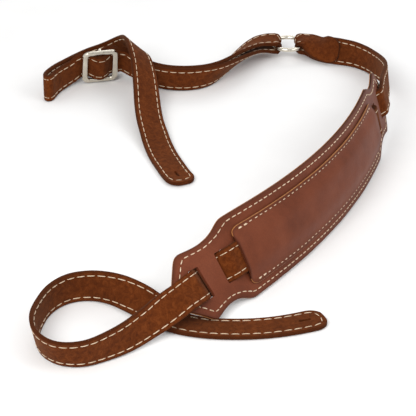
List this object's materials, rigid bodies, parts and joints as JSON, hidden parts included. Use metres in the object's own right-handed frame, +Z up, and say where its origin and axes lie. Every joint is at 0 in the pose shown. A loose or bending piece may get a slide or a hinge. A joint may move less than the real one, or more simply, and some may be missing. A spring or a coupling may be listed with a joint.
{
  "type": "instrument shoulder strap",
  "caption": "Padded leather shoulder strap with a bracket-ended pad, a ring, a sliding buckle and a button slit at each free end, laid out in loose loops.",
  "frame": {"origin": "on the surface it lies on, below the middle of its bounding box", "axes": "+Z up, +Y along the layout's length towards the ring end, +X towards the pad's outer face"},
  "size_m": [0.3175, 0.5685, 0.0677],
  "materials": {
    "smooth_leather": "smooth reddish-brown hide, satin",
    "lining_leather": "soft garment hide, matt",
    "strap_suede": "suede, tan brown",
    "padding": "closed foam sheet",
    "thread": "waxed cream thread",
    "nickel": "nickel plate, polished"
  },
  "bodies": {
    "strap": {"pad_base": "smooth_leather", "pad_lining": "lining_leather", "pad_foam": "padding", "pad_panel": "smooth_leather", "pad_upper_edge_thread": "thread", "pad_lower_edge_thread": "thread", "panel_upper_thread": "thread", "panel_lower_thread": "thread", "front_strap_face": "strap_suede", "front_strap_backing": "strap_suede", "front_strap_upper_thread": "thread", "front_strap_lower_thread": "thread", "adjuster_strap_face": "strap_suede", "adjuster_strap_backing": "strap_suede", "adjuster_upper_thread": "thread", "adjuster_lower_thread": "thread"},
    "ring": {"ring": "nickel"},
    "buckle": {"buckle_frame": "nickel", "buckle_centre_bar": "nickel"}
  },
  "joints": [
    {"name": "ring_spin", "type": "hinge", "parent": "strap", "child": "ring", "pos_m": [0.06933, 0.26754, 0.01188], "axis": [0, 0, 1], "continuous": true},
    {"name": "buckle_rock", "type": "hinge", "parent": "strap", "child": "buckle", "pos_m": [-0.10901, 0.20579, 0.01952], "axis": [0.0626, -0.2511, 0.9659], "range_deg": [-3, 3]}
  ]
}
